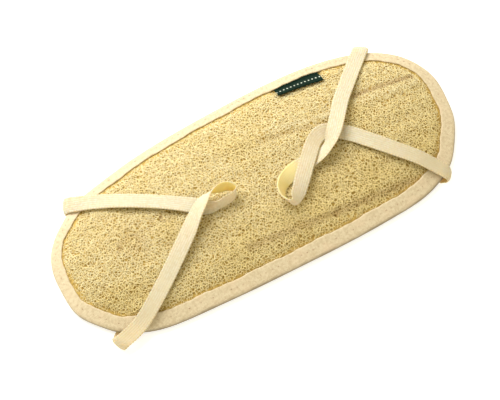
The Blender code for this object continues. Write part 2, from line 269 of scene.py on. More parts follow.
class Graph:
    """A geometry node group with named sizes, run once on a mesh."""

    def __init__(self, name: str, sizes: dict[str, float]) -> None:
        """Makes the group.

        Args:
            name: the group's name.
            sizes: its named inputs and their values.
        """
        self.tree = bpy.data.node_groups.new(name, "GeometryNodeTree")
        face = self.tree.interface
        face.new_socket(name="Geometry", in_out="INPUT", socket_type="NodeSocketGeometry")
        face.new_socket(name="Geometry", in_out="OUTPUT", socket_type="NodeSocketGeometry")
        self.values: dict[str, float] = {}
        for label, value in sizes.items():
            socket = face.new_socket(name=label, in_out="INPUT", socket_type="NodeSocketFloat")
            self.values[socket.identifier] = value
        self.source = self.tree.nodes.new("NodeGroupInput")
        self.sink = self.tree.nodes.new("NodeGroupOutput")

    def size(self, label: str) -> bpy.types.NodeSocket:
        """Returns the socket of a named size."""
        return self.source.outputs[label]

    def mesh(self) -> bpy.types.NodeSocket:
        """Returns the socket of the mesh that the group runs on."""
        return self.source.outputs["Geometry"]

    def node(self, kind: str, settings: dict | None = None, values: dict | None = None,
             output: int | str = 0) -> bpy.types.NodeSocket:
        """Adds a node.

        Args:
            kind: the node's type.
            settings: attributes, set before its sockets.
            values: values or sockets by socket name or number.
            output: which output to return.

        Returns:
            The chosen output.
        """
        made = self.tree.nodes.new(kind)
        for key, value in (settings or {}).items():
            setattr(made, key, value)
        for key, value in (values or {}).items():
            if isinstance(value, bpy.types.NodeSocket):
                self.tree.links.new(value, made.inputs[key])
            else:
                made.inputs[key].default_value = value
        return made.outputs[output]

    def maths(self, operation: str, first: bpy.types.NodeSocket,
              second: bpy.types.NodeSocket | float) -> bpy.types.NodeSocket:
        """Returns the result of one Math node."""
        return self.node("ShaderNodeMath", {"operation": operation}, {0: first, 1: second})

    def random(self, low: float, high: float, seed: int) -> bpy.types.NodeSocket:
        """Returns a random number between two values."""
        return self.node("FunctionNodeRandomValue", {"data_type": "FLOAT"},
                         {2: low, 3: high, 8: seed}, 1)

    def shake(self, amount: bpy.types.NodeSocket, scale: float) -> bpy.types.NodeSocket:
        """Returns a noisy offset of at most about half an amount each way.

        Args:
            amount: the amount.
            scale: the noise's spots per metre.

        Returns:
            The offset at each point.
        """
        noise = self.node("ShaderNodeTexNoise", {"noise_dimensions": "3D"},
                          {"Scale": scale, "Detail": 2.0}, "Color")
        centred = self.node("ShaderNodeVectorMath", {"operation": "SUBTRACT"},
                            {0: noise, 1: (0.5, 0.5, 0.5)})
        return self.node("ShaderNodeVectorMath", {"operation": "SCALE"}, {0: centred, 3: amount})

    def tube(self, curve: bpy.types.NodeSocket, radius: bpy.types.NodeSocket,
             sides: int) -> bpy.types.NodeSocket:
        """Returns closed tubes along curves.

        Args:
            curve: the curves.
            radius: the tubes' radius.
            sides: how many sides they have.

        Returns:
            The tubes.
        """
        profile = self.node("GeometryNodeCurvePrimitiveCircle", {"mode": "RADIUS"},
                            {"Resolution": sides, "Radius": 1.0})
        return self.node("GeometryNodeCurveToMesh", None,
                         {"Curve": curve, "Profile Curve": profile, "Scale": radius,
                          "Fill Caps": True})

    def run(self, source: bpy.types.Object, name: str, result: bpy.types.NodeSocket,
            material: bpy.types.Material) -> bpy.types.Object:
        """Ends the group, runs it and keeps its result as a plain mesh.

        Args:
            source: the object whose mesh it runs on; it is removed.
            name: the new piece's name.
            result: the geometry to keep.
            material: its material.

        Returns:
            The new piece.
        """
        real = self.node("GeometryNodeRealizeInstances", None, {"Geometry": result})
        even = self.node("GeometryNodeSetShadeSmooth", None,
                         {"Geometry": real, "Shade Smooth": True})
        done = self.node("GeometryNodeSetMaterial", None, {"Geometry": even, "Material": material})
        self.tree.links.new(done, self.sink.inputs[0])
        modifier = source.modifiers.new("Build", "NODES")
        modifier.node_group = self.tree
        for identifier, value in self.values.items():
            modifier[identifier] = value
        shown = source.evaluated_get(bpy.context.evaluated_depsgraph_get())
        mesh = bpy.data.meshes.new_from_object(shown)
        bpy.data.objects.remove(source, do_unlink=True)
        mesh.name = name
        piece = bpy.data.objects.new(name, mesh)
        bpy.context.scene.collection.objects.link(piece)
        return piece


# Finishes


@dataclass(frozen=True)
class LoofahFinish:
    """Dry loofah fibre: straw-coloured strands over depths painted browner for their shade, with
    painted shade towards the side away from the key light and a painted highlight and shade along
    the furrows.
    """

    name: str
    pale: Colour
    mid: Colour
    stain_and_furrow_shade: Colour
    olive: Colour
    fibre: float = 900.0
    relief: float = 0.12 * MM
    roughness: float = 0.78
    patch: float = 34.0
    mottle: float = 240.0
    broad: float = 16.0
    painted_side_shade_slant: float = 0.15
    painted_side_shade_width: float = 0.10
    full_rise: float = 1.5 * MM

    def material(self) -> bpy.types.Material:
        """Makes the material.

        Returns:
            The material.
        """
        web = ShaderWeb(self.name, self.mid, self.roughness)
        strands = web.noise(self.fibre, 2.0)
        patches = web.noise(self.patch, 4.0)
        colour = web.blend(strands.ramp(0.32, 0.66), self.mid, self.pale)
        colour = web.blend(patches.ramp(0.45, 0.75) * 0.5, colour, self.olive)
        x, y = web.split(web.place())
        # painted shade: the loofah is painted olive towards +x and -y, the side away from the key
        # light
        painted_side_shade = x * self.painted_side_shade_slant - y + web.noise(self.broad, 2.0) * 0.05
        painted_side_shade = painted_side_shade.ramp(0.0, self.painted_side_shade_width)
        colour = web.blend(painted_side_shade * 0.5, colour, self.olive)
        for at, reach, strength in STAINS:
            spot = web.near_line(at, at, reach) * web.noise(self.mottle, 2.0).ramp(0.35, 0.6)
            colour = web.blend(spot * strength, colour, self.stain_and_furrow_shade)
        # painted highlight along the raised lines and painted shade along the sunk ones
        for start, end, rise, reach in FURROWS:
            painted_furrow_tint, share = (self.stain_and_furrow_shade, 0.45) if rise < 0 else (self.pale, 0.9)
            painted_furrow_mask = web.near_line(start, end, reach * 1.5) * min(abs(rise) / self.full_rise, 1.0)
            colour = web.blend(painted_furrow_mask * share, colour, painted_furrow_tint)
        return web.finish(colour, web.noise(self.fibre * 2.2, 2.0), self.relief)


class Weave(Enum):
    """How a cotton cloth is woven."""

    TWILL = "twill"
    RIBBED = "ribbed"
    PLAIN = "plain"


@dataclass(frozen=True)
class CottonFinish:
    """Unbleached cotton, woven one of three ways.

    A finish given a lining colour has it painted on its inner side, within a stretch of the cloth,
    as painted light: the glow of light bounced into the strap's loops. The inner side is where the
    map's distance across the cloth is negative.
    """

    name: str
    weave: Weave
    pale: Colour
    shade: Colour
    blush: Colour
    pitch: float = 0.9 * MM
    relief: float = 0.11 * MM
    painted_rim_shade_at: float = 0.0
    glow: float = 0.0
    width: float = 0.0
    notch_pitch: float = 2.4 * MM
    slant: float = 1.4
    painted_end_shade_run: float = 0.0
    painted_bounce: Colour | None = None
    painted_bounce_at: float = 0.0
    painted_bounce_reach: tuple[float, float] = (38 * MM, 26 * MM)
    under_edge: tuple[float, float] = (1.6 * MM, -0.6 * MM)
    under_shade: float = 0.40
    notch_shade: float = 0.8
    contrast: tuple[float, float] = (0.0, 0.8)
    crease: float = 420.0
    slub: float = 480.0
    cloud: float = 75.0
    fuzz: float = 1500.0
    roughness: float = 0.82

    def height(self, web: ShaderWeb, u: Wire, v: Wire) -> Wire:
        """Returns the weave's height, from 0 to 1.

        Args:
            web: the material's nodes.
            u: distance along the cloth.
            v: distance across it.

        Returns:
            The height.
        """
        turn = 2 * math.pi / self.pitch
        if self.weave is Weave.TWILL:
            rows = ((u + v * self.slant) * turn).sine() * 0.5 + 0.5
            return rows * 0.7 + ((v * turn * 1.6).sine() * 0.5 + 0.5) * 0.3
        if self.weave is Weave.RIBBED:
            picks = (u * turn * 1.3).sine() * 0.5 + 0.5
            return (v * turn * 0.5).sine().size() * 0.75 + picks * 0.25
        warp = web.noise(1.0 / self.pitch, 1.0, web.point(u, v * 0.4))
        weft = web.noise(1.0 / self.pitch, 1.0, web.point(u * 0.4, v))
        return warp * 0.5 + weft * 0.5

    def material(self) -> bpy.types.Material:
        """Makes the material.

        Returns:
            The material.
        """
        web = ShaderWeb(self.name, self.pale, self.roughness)
        u, v = web.cloth()
        painted_bounce_side = v.ramp(0.0, -0.2 * MM)
        v = v.size() if self.painted_bounce else v
        height = self.height(web, u, v)
        drawn_out = None if self.weave is Weave.PLAIN else web.point(u, v * 0.15)
        creases = web.noise(self.crease, 3.0, drawn_out)
        # painted shade: the weave's low threads, and further down the creases, are tinted towards
        # the shade colour
        colour = web.blend(height.ramp(*self.contrast), self.shade, self.pale)
        colour = web.blend(web.noise(self.slub, 3.0).ramp(0.40, 0.64) * 0.6, colour, self.shade)
        colour = web.blend(web.noise(self.cloud, 3.0).ramp(0.45, 0.75) * 0.6, colour, self.blush)
        colour = web.blend(creases.ramp(0.52, 0.72) * 0.35, colour, self.shade)
        # painted shade: below its outer turn the tape is darkened, on its underside and the lower
        # half of the rim's outer face, where shade falls
        if self.painted_rim_shade_at:
            under = v.ramp(*(self.painted_rim_shade_at + edge for edge in self.under_edge))
            painted_dark = tuple(self.under_shade * c for c in self.shade)
            colour = web.blend(under * 0.85, colour, painted_dark)
        # painted shade: the cloth darkens towards the start of its run, the strap's end that folds
        # over the near rim and slopes away from the key light
        if self.painted_end_shade_run:
            painted_end_shade = u.ramp(self.painted_end_shade_run, self.painted_end_shade_run * 0.2)
            colour = web.blend(painted_end_shade * 0.6, colour, self.shade)
        # painted shade in the notches between the selvedge's teeth, which are also sunk in the bump
        if self.width:
            border = (v - self.width / 2).size().ramp(self.width * 0.37, self.width * 0.47)
            notch_dip_and_shade = (u * (2 * math.pi / self.notch_pitch)).sine().ramp(-0.1, 0.7) * border
            painted_dark = tuple(self.notch_shade * c for c in self.shade)
            colour = web.blend(notch_dip_and_shade * 0.6, colour, painted_dark)
            height = height * (1.0 - notch_dip_and_shade * 0.8)
        # painted light on the inner side of the loop, standing for light bounced off the loofah
        # into it
        if self.painted_bounce:
            painted_bounce_side = painted_bounce_side * (u - self.painted_bounce_at).size().ramp(*self.painted_bounce_reach)
            colour = web.blend(painted_bounce_side * 0.8, colour, self.painted_bounce)
        if self.glow:
            web.shader.inputs["Subsurface Weight"].default_value = self.glow
            web.shader.inputs["Subsurface Radius"].default_value = (1.0, 0.7, 0.4)
            web.shader.inputs["Subsurface Scale"].default_value = 4.0 * MM
        height = height * 0.6 + web.noise(self.fuzz, 2.0) * 0.3 + creases * 0.5
        return web.finish(colour, height, self.relief)


@dataclass(frozen=True)
class LabelFinish:
    """Dark satin ribbon with one plain row of small pale lozenges."""

    name: str
    ground: Colour
    painted_sheen: Colour
    mark: Colour
    pitch: float = 0.45 * MM
    lozenge: float = 6.2 * MM
    row_at: float = 4.2 * MM
    row_edge: tuple[float, float] = (1.6 * MM, 1.3 * MM)
    mottle: float = 300.0
    roughness: float = 0.7
    gloss: float = 0.12

    def material(self) -> bpy.types.Material:
        """Makes the material.

        Returns:
            The material.
        """
        web = ShaderWeb(self.name, self.ground, self.roughness)
        web.shader.inputs["Specular IOR Level"].default_value = self.gloss
        u, v = web.cloth()
        turn = 2 * math.pi / self.pitch
        rows = ((u * 0.6 + v) * turn).sine() * 0.5 + 0.5
        # painted sheen: the satin's rows are tinted paler where the noise lets them, standing for
        # their shine
        painted_shine = rows * web.noise(self.mottle, 2.0).ramp(0.3, 0.7)
        colour = web.blend(painted_shine, self.ground, self.painted_sheen)
        step = 2 * math.pi / self.lozenge
        down = v - self.row_at
        outside = ((u * step).sine().size() + (down * step).sine().size()).ramp(0.55, 0.85)
        in_row = down.size().ramp(*self.row_edge)
        colour = web.blend((1.0 - outside) * in_row * 0.9, colour, self.mark)
        return web.finish(colour, rows, 0.05 * MM)


@dataclass(frozen=True)
class PlainFinish:
    """An even finish with a little soft variation."""

    name: str
    pale: Colour
    shade: Colour
    roughness: float
    scale: float = 400.0

    def material(self) -> bpy.types.Material:
        """Makes the material.

        Returns:
            The material.
        """
        web = ShaderWeb(self.name, self.pale, self.roughness)
        noise = web.noise(self.scale, 3.0)
        return web.finish(web.blend(noise.ramp(0.3, 0.7), self.shade, self.pale), noise, 0.04 * MM)


# Shape of the pad

# Raised and sunk lines along the loofah: start, end, rise, reach, in metres. The loofah's finish
# paints a highlight along the raised lines and shade along the sunk ones.
FURROWS = (
    ((0.024, 0.038), (0.082, 0.025), 1.3 * MM, 3.0 * MM),
    ((0.022, 0.0325), (0.080, 0.0195), -0.6 * MM, 2.4 * MM),
    ((0.106, 0.0305), (0.158, 0.0245), -1.8 * MM, 2.4 * MM),
    ((0.106, 0.0225), (0.158, 0.0175), 0.9 * MM, 3.0 * MM),
    ((-0.029, -0.0415), (0.045, -0.0485), -0.9 * MM, 3.6 * MM),
    ((0.045, -0.0485), (0.118, -0.0545), -1.0 * MM, 3.6 * MM),
)
# Browner spots on the loofah: place, reach, strength.
STAINS = (
    ((-0.078, 0.0125), 5 * MM, 0.9),
    ((0.0107, -0.0237), 4 * MM, 0.7),
    ((-0.1196, 0.0057), 6 * MM, 0.5),
    ((-0.106, 0.006), 26 * MM, 0.25),
)


def smooth_step(value: np.ndarray) -> np.ndarray:
    """Eases values from 0 to 1."""
    v = np.clip(value, 0.0, 1.0)
    return v * v * (3.0 - 2.0 * v)


def distances(line: np.ndarray) -> np.ndarray:
    """Returns each point's distance along a line."""
    return np.concatenate([[0.0], np.cumsum(np.linalg.norm(np.diff(line, axis=0), axis=1))])


def headings(line: np.ndarray) -> np.ndarray:
    """Returns a line's direction at each of its points."""
    ahead = np.gradient(line, axis=0)
    return ahead / np.linalg.norm(ahead, axis=1)[:, None]


def between(t: np.ndarray, span: np.ndarray | float, ends: tuple, slopes: tuple) -> np.ndarray:
    """Returns points on a smooth curve between two stations.

    Args:
        t: the points' places, from 0 at the first station to 1 at the second.
        span: the distance from station to station.
        ends: the two stations.
        slopes: the curve's slopes there.

    Returns:
        The points.
    """
    return ((2 * t**3 - 3 * t**2 + 1) * ends[0] + (t**3 - 2 * t**2 + t) * span * slopes[0]
            + (3 * t**2 - 2 * t**3) * ends[1] + (t**3 - t**2) * span * slopes[1])


@dataclass
class PadForm:
    """Outline and heights of the pad, the same as the solids'."""

    length: float = 350 * MM
    width: float = 150 * MM
    power: float = 2.9
    taper: float = 0.065
    bow: float = 3.6 * MM
    pulls: tuple = ((-115, -64, 4.5, 32), (-166, -38, -2.4, 15), (-128, 62, 2.5, 18),
                    (176, 14, 2.0, 18), (166, -40, -4.4, 21), (113, -68, 2.6, 24))
    rim_top: float = 7 * MM
    crown_rise: float = 15 * MM
    crown_power: float = 2.6
    top_widths: tuple = (10.5 * MM, 10.3 * MM, 0.6 * MM, -1.7 * MM)
    count: int = 1440
    even_over: int = 6
    points: np.ndarray = field(init=False)
    inward: np.ndarray = field(init=False)
    run: np.ndarray = field(init=False)
    top_width: np.ndarray = field(init=False)

    def __post_init__(self) -> None:
        """Works out the outline's points, inward normals and run."""
        t = np.linspace(0.0, 2 * math.pi, 4 * self.count, endpoint=False)
        c, s = np.cos(t), np.sin(t)
        x = self.length / 2 * np.sign(c) * np.abs(c) ** (2 / self.power)
        y = self.width / 2 * np.sign(s) * np.abs(s) ** (2 / self.power)
        u = 2 * x / self.length
        y = y * (1 + self.taper * u) + self.bow * (1 - u * u)
        points = np.stack([x, y], 1)
        for at_x, at_y, amount, reach in self.pulls:
            at = np.array([at_x, at_y]) * MM
            near = np.exp(-((points - at) ** 2).sum(1) / (reach * MM) ** 2)
            points += amount * MM * near[:, None] * at / np.linalg.norm(at)
        closed = np.vstack([points, points[:1]])
        run = distances(closed)
        even = np.linspace(0.0, run[-1], self.count, endpoint=False)
        self.points = np.stack([np.interp(even, run, closed[:, k]) for k in (0, 1)], 1)
        along = (np.roll(self.points, -self.even_over, axis=0)
                 - np.roll(self.points, self.even_over, axis=0))
        along /= np.linalg.norm(along, axis=1)[:, None]
        self.inward = np.stack([-along[:, 1], along[:, 0]], 1)
        self.run = even
        sides, ends, shift_x, shift_y = self.top_widths
        nx, ny = -self.inward[:, 0], -self.inward[:, 1]
        self.top_width = sides * ny**2 + ends * nx**2 + shift_x * nx + shift_y * ny

    def perimeter(self) -> float:
        """Returns the outline's length."""
        return float(self.run[-1] * self.count / (self.count - 1))

    def nearest(self, xy: np.ndarray) -> tuple[np.ndarray, np.ndarray]:
        """Finds the nearest outline stations.

        Args:
            xy: plan points.

        Returns:
            Each point's station and its inset from it.
        """
        station, inset = np.empty(len(xy), int), np.empty(len(xy))
        for at in range(0, len(xy), 2000):
            part = xy[at:at + 2000]
            gap = ((part[:, None, :] - self.points[None]) ** 2).sum(2)
            i = gap.argmin(1)
            station[at:at + 2000] = i
            inset[at:at + 2000] = ((part - self.points[i]) * self.inward[i]).sum(1)
        return station, inset

    def crown(self, inset: np.ndarray) -> np.ndarray:
        """Returns the height of the pad's upper surface at insets from the edge."""
        left = 1.0 - np.clip(inset / (self.width / 2), 0.0, 1.0)
        return self.rim_top + self.crown_rise * (1.0 - left**self.crown_power)

    def ring(self, station: int, line: np.ndarray) -> np.ndarray:
        """Lays (inset, height) pairs at an outline station, in space.

        Args:
            station: the station.
            line: the pairs.

        Returns:
            The points.
        """
        i = station % self.count
        xy = self.points[i] + self.inward[i] * line[:, :1]
        return np.hstack([xy, line[:, 1:2]])

    def spot(self, station: int, inset: float, level: float) -> np.ndarray:
        """Returns the point at an inset and a height from an outline station."""
        return self.ring(station, np.array([[inset, level]]))[0]


# Line and mesh helpers


def add_piece(name: str, bm: bmesh.types.BMesh, material: bpy.types.Material,
              smooth: bool = True) -> bpy.types.Object:
    """Turns a bmesh into a piece.

    Args:
        name: its name.
        bm: its mesh; it is freed.
        material: its material.
        smooth: whether its faces are shaded smooth.

    Returns:
        The piece.
    """
    bmesh.ops.recalc_face_normals(bm, faces=bm.faces)
    mesh = bpy.data.meshes.new(name)
    bm.to_mesh(mesh)
    bm.free()
    mesh.materials.append(material)
    mesh.polygons.foreach_set("use_smooth", [smooth] * len(mesh.polygons))
    piece = bpy.data.objects.new(name, mesh)
    bpy.context.scene.collection.objects.link(piece)
    return piece


def thick_section(line: np.ndarray, thickness: np.ndarray | float) -> np.ndarray:
    """Turns a middle line into the closed section of a cloth of even thickness.

    Args:
        line: points of the middle line.
        thickness: the cloth's thickness, at each point or everywhere.

    Returns:
        The closed section, down one face and back along the other.
    """
    ahead = headings(line)
    off = np.stack([-ahead[:, 1], ahead[:, 0]], 1) * np.reshape(thickness, (-1, 1)) / 2
    return np.vstack([line + off, (line - off)[::-1]])


def refine(line: np.ndarray, count: int) -> np.ndarray:
    """Returns a line resampled evenly through a smooth curve.

    Args:
        line: its rough points.
        count: how many points it gets.

    Returns:
        The smooth line.
    """
    run = distances(line)
    slope = np.gradient(line, run, axis=0)
    at = np.linspace(0.0, run[-1], count)
    i = np.clip(np.searchsorted(run, at, side="right") - 1, 0, len(run) - 2)
    span = (run[i + 1] - run[i])[:, None]
    t = ((at - run[i]) / span[:, 0])[:, None]
    return between(t, span, (line[i], line[i + 1]), (slope[i], slope[i + 1]))


def triangulate(bm: bmesh.types.BMesh, verts: list[bmesh.types.BMVert], border: int = 0) -> None:
    """Joins points into triangles, as seen in plan.

    Args:
        bm: their mesh.
        verts: the points, those of the border first.
        border: how many points the border has; 0 where there is none.
    """
    plan = [Vector(v.co.xy) for v in verts]
    outline = [list(range(border))] if border else []
    for face in delaunay_2d_cdt(plan, [], outline, 1 if border else 0, 1e-7)[2]:
        bm.faces.new([verts[i] for i in face])


def sweep(name: str, rings: np.ndarray, along: np.ndarray, across: np.ndarray,
          material: bpy.types.Material, closed: bool) -> bpy.types.Object:
    """Joins closed sections into one body with a map of the cloth.

    Args:
        name: the piece's name.
        rings: the sections' points, as (ring, point, xyz).
        along: each ring's distance along the cloth; one more than the rings if closed.
        across: each section point's distance across it.
        material: its material.
        closed: whether the last ring joins the first.

    Returns:
        The piece.
    """
    bm = bmesh.new()
    layer = bm.loops.layers.uv.new("cloth")
    verts = [[bm.verts.new(p) for p in ring] for ring in rings]
    count, size = len(rings), rings.shape[1]
    for i in range(count if closed else count - 1):
        k = (i + 1) % count
        for j in range(size):
            m = (j + 1) % size
            face = bm.faces.new((verts[i][j], verts[k][j], verts[k][m], verts[i][m]))
            flat = ((along[i], across[j]), (along[i + 1], across[j]),
                    (along[i + 1], across[m]), (along[i], across[m]))
            for loop, uv in zip(face.loops, flat):
                loop[layer].uv = uv
    if not closed:
        for end, at in ((verts[0], along[0]), (verts[-1], along[-1])):
            half = size // 2
            for j in range(half - 1):
                face = bm.faces.new((end[j], end[j + 1], end[size - 2 - j], end[size - 1 - j]))
                for loop in face.loops:
                    loop[layer].uv = (at, across[j])
    return add_piece(name, bm, material)


# The pieces


@dataclass(frozen=True)
class Net:
    """Sizes of one net of fibres.

    Attributes:
        name: the net's name.
        cell: the step from pit to pit.
        radius: a fibre's radius.
        drop: how far the net lies below the loofah's face.
        missing: the share of fibres left out.
        wander: how far the fibres stray.
        seed: the random seed.
        jitter: how far a pit is shaken, in steps.
        outside: how far the net reaches under the tape.
        rough: how far a pit rises or falls at random.
        longest: the longest edge of its sheet, in steps.
        points: how many points each fibre has.
    """

    name: str
    cell: float
    radius: float
    drop: float
    missing: float
    wander: float
    seed: int
    jitter: float = 0.42
    outside: float = 2.0 * MM
    rough: float = 0.25 * MM
    longest: float = 2.4
    points: int = 2


@dataclass
class LoofahCore:
    """The pressed loofah: a body painted dark for the shade in the pits, under two fibre nets and
    loose fibres.
    """

    form: PadForm
    label: Label
    tongue_drop: float = 3.0 * MM
    edge_rise: float = 1.3 * MM
    puff_width: float = 6.0 * MM
    puff_height: float = 0.3 * MM
    rib_height: float = 0.55 * MM
    rib_pitch: float = 21 * MM
    rib_sways: tuple = ((3 * MM, 31 * MM, 0.0), (2 * MM, 13 * MM, 1.1))
    label_ease: float = 4 * MM
    label_margins: tuple = (5 * MM, 6 * MM)
    label_press: float = 0.85
    underside: tuple = ((3.0 * MM, 4.6 * MM), (13.0 * MM, 4.6 * MM), (22.0 * MM, 1.3 * MM))
    reach: tuple[float, float] = (0.18, 0.1)
    rows: int = 180
    body_cell: float = 2.6 * MM
    body_depth: float = 1.9 * MM
    body_rough: float = 0.3 * MM
    body_seeds: tuple[int, int] = (23, 9)
    fibre_cell: float = 5.5 * MM
    fibre_longest: float = 13 * MM
    fibre_seeds: tuple[int, int] = (31, 5)

    def level(self, xy: np.ndarray) -> np.ndarray:
        """Returns the height of the loofah's face at plan points.

        Args:
            xy: the points.

        Returns:
            The heights.
        """
        station, inset = self.form.nearest(xy)
        puff = smooth_step((inset - self.form.top_width[station]) / self.puff_width)
        aside, below = self.label_margins
        past = self.label.length / 2 + aside - np.abs(xy[:, 0] - self.label.x)
        label = smooth_step(past / self.label_ease)
        past = self.label.reach + below - inset
        label = label * smooth_step(past / self.label_ease) * (xy[:, 1] > 0)
        lift = puff * (1.0 - self.label_press * label)
        drop = self.tongue_drop - self.edge_rise * (1.0 - label)
        x, y = xy[:, 0], xy[:, 1]
        wander = sum(sway * np.sin(x / run + phase) for sway, run, phase in self.rib_sways)
        rise = self.rib_height * np.cos(2 * math.pi * (y + wander) / self.rib_pitch)
        for start, end, amount, reach in FURROWS:
            rise = rise + amount * self.near_line(xy, start, end, reach)
        return self.form.crown(inset) - drop + lift * (drop + self.puff_height + rise)

    @staticmethod
    def near_line(xy: np.ndarray, start: tuple, end: tuple, reach: float) -> np.ndarray:
        """Returns 1 on a line and less away from it.

        Args:
            xy: plan points.
            start: one end of the line.
            end: its other end.
            reach: how far its effect spreads.

        Returns:
            The share at each point.
        """
        a, b = np.array(start), np.array(end)
        t = np.clip(((xy - a) @ (b - a)) / ((b - a) @ (b - a)), 0.0, 1.0)
        gap = ((xy - a - t[:, None] * (b - a)) ** 2).sum(1)
        return np.exp(-gap / reach**2)

    def seeds(self, cell: float, jitter: float, inside: float, seed: int) -> np.ndarray:
        """Returns plan points on a shaken triangular grid over the loofah's face.

        Args:
            cell: the grid's step.
            jitter: how far a point is shaken, in steps.
            inside: how far within the tape's edge the points stop.
            seed: the random seed.

        Returns:
            The points.
        """
        rng = random.Random(seed)
        step = cell * math.sqrt(3) / 2
        spots = []
        columns, rows = int(self.reach[0] / cell), int(self.reach[1] / step)
        for row in range(-rows, rows + 1):
            for column in range(-columns, columns + 1):
                spots.append(((column + 0.5 * (row % 2) + rng.uniform(-1, 1) * jitter) * cell,
                              row * step + rng.uniform(-1, 1) * cell * jitter))
        xy = np.array(spots)
        station, inset = self.form.nearest(xy)
        return xy[inset > self.form.top_width[station] + inside]

    def sheet(self, xy: np.ndarray, drop: float, rough: float, seed: int) -> bmesh.types.BMesh:
        """Joins plan points into a triangulated sheet below the loofah's face.

        Args:
            xy: the points.
            drop: how far it lies below the face.
            rough: how far a point rises or falls at random.
            seed: the random seed.

        Returns:
            The sheet.
        """
        rng = np.random.default_rng(seed)
        level = self.level(xy) - drop + rng.uniform(-1, 1, len(xy)) * rough
        bm = bmesh.new()
        triangulate(bm, [bm.verts.new((*p, z)) for p, z in zip(xy, level)])
        return bm

    def source(self, name: str, bm: bmesh.types.BMesh, longest: float,
               finish: bpy.types.Material) -> bpy.types.Object:
        """Makes a sheet without its long edges into the object that a group runs on.

        Args:
            name: the finished piece's name.
            bm: the sheet; it is freed.
            longest: the longest edge that stays.
            finish: its material.

        Returns:
            The object.
        """
        long = [e for e in bm.edges if e.calc_length() > longest]
        bmesh.ops.delete(bm, geom=long, context="EDGES")
        return add_piece(name + "_source", bm, finish)

    def net(self, net: Net, finish: bpy.types.Material) -> bpy.types.Object:
        """Builds one net of fibres.

        Args:
            net: its name and sizes.
            finish: its material.

        Returns:
            The net.
        """
        spots = self.seeds(net.cell, net.jitter, -net.outside, net.seed)
        bm = self.sheet(spots, net.drop, net.rough, net.seed)
        source = self.source(net.name, bm, net.cell * net.longest, finish)
        graph = Graph(net.name, {"Radius": net.radius, "Missing": net.missing,
                                 "Wander": net.wander})
        cells = graph.node("GeometryNodeDualMesh", None, {"Mesh": graph.mesh()})
        lose = graph.node("FunctionNodeRandomValue", {"data_type": "BOOLEAN"},
                          {"Probability": graph.size("Missing"), "Seed": net.seed}, 3)
        kept = graph.node("GeometryNodeDeleteGeometry", {"domain": "EDGE"},
                          {"Geometry": cells, "Selection": lose})
        curves = graph.node("GeometryNodeMeshToCurve", None, {"Mesh": kept})
        curves = graph.node("GeometryNodeResampleCurve", {"mode": "COUNT"},
                            {"Curve": curves, "Count": net.points})
        bent = graph.node("GeometryNodeSetPosition", None,
                          {"Geometry": curves, "Offset": graph.shake(graph.size("Wander"), 420.0)})
        thin = graph.maths("MULTIPLY", graph.size("Radius"), graph.random(0.65, 1.35, net.seed + 1))
        return graph.run(source, net.name, graph.tube(bent, thin, 3), finish)

    def fibres(self, name: str, finish: bpy.types.Material) -> bpy.types.Object:
        """Scatters loose bent fibres over the net.

        Args:
            name: the piece's name.
            finish: its material.

        Returns:
            The fibres.
        """
        seed, scatter_seed = self.fibre_seeds
        spots = self.seeds(self.fibre_cell, 0.3, 1.0 * MM, seed)
        bm = self.sheet(spots, 0.25 * MM, 0.1 * MM, seed)
        source = self.source(name, bm, self.fibre_longest, finish)
        graph = Graph(name, {"Radius": 0.20 * MM, "Length": 6.2 * MM, "Bend": 0.9 * MM,
                             "Density": 150000.0, "Wander": 0.8 * MM})
        scatter = graph.node("GeometryNodeDistributePointsOnFaces", None,
                             {"Mesh": graph.mesh(), "Density": graph.size("Density"),
                              "Seed": scatter_seed}).node
        half = graph.maths("MULTIPLY", graph.size("Length"), 0.5)
        back = graph.maths("MULTIPLY", half, -1.0)
        ends = [graph.node("ShaderNodeCombineXYZ", None, values) for values in
                ({0: back}, {1: graph.size("Bend")}, {0: half})]
        fibre = graph.node("GeometryNodeCurveQuadraticBezier", None,
                           {"Resolution": 4, "Start": ends[0], "Middle": ends[1], "End": ends[2]})
        spin = graph.node("FunctionNodeAxisAngleToRotation", None,
                          {"Axis": (0.0, 0.0, 1.0), "Angle": graph.random(0.0, 2 * math.pi, 7)})
        turned = graph.node("FunctionNodeRotateRotation", {"rotation_space": "LOCAL"},
                            {0: scatter.outputs["Rotation"], 1: spin})
        laid = graph.node("GeometryNodeInstanceOnPoints", None,
                          {"Points": scatter.outputs["Points"], "Instance": fibre,
                           "Rotation": turned, "Scale": graph.random(0.5, 1.3, 8)})
        real = graph.node("GeometryNodeRealizeInstances", None, {"Geometry": laid})
        bent = graph.node("GeometryNodeSetPosition", None,
                          {"Geometry": real, "Offset": graph.shake(graph.size("Wander"), 300.0)})
        return graph.run(source, name, graph.tube(bent, graph.size("Radius"), 3), finish)

    def body(self, name: str, finish: bpy.types.Material) -> bpy.types.Object:
        """Builds the closed body under the nets.

        Args:
            name: the piece's name.
            finish: its material.

        Returns:
            The body.
        """
        rows, step = self.rows, self.form.count // self.rows
        edge_inset = self.underside[0][0]
        border = np.array([self.form.spot(i * step, edge_inset, 0.0)[:2] for i in range(rows)])
        seed, rough_seed = self.body_seeds
        xy = np.vstack([border, self.seeds(self.body_cell, 0.3, -edge_inset, seed)])
        rng = np.random.default_rng(rough_seed)
        station, inset = self.form.nearest(xy)
        depth = smooth_step((inset - self.form.top_width[station]) / self.puff_width)
        depth = self.body_depth * depth
        shake = rng.uniform(-1, 1, len(xy)) * self.body_rough
        level = self.level(xy) - depth + shake * (depth > 0)
        bm = bmesh.new()
        verts = [bm.verts.new((*p, z)) for p, z in zip(xy, level)]
        triangulate(bm, verts, rows)
        edge = verts[:rows]
        for pair in self.underside:
            ring = [bm.verts.new(self.form.spot(i * step, *pair)) for i in range(rows)]
            for i in range(rows):
                k = (i + 1) % rows
                bm.faces.new((edge[k], edge[i], ring[i], ring[k]))
            edge = ring
        bm.faces.new(edge)
        return add_piece(name, bm, finish)

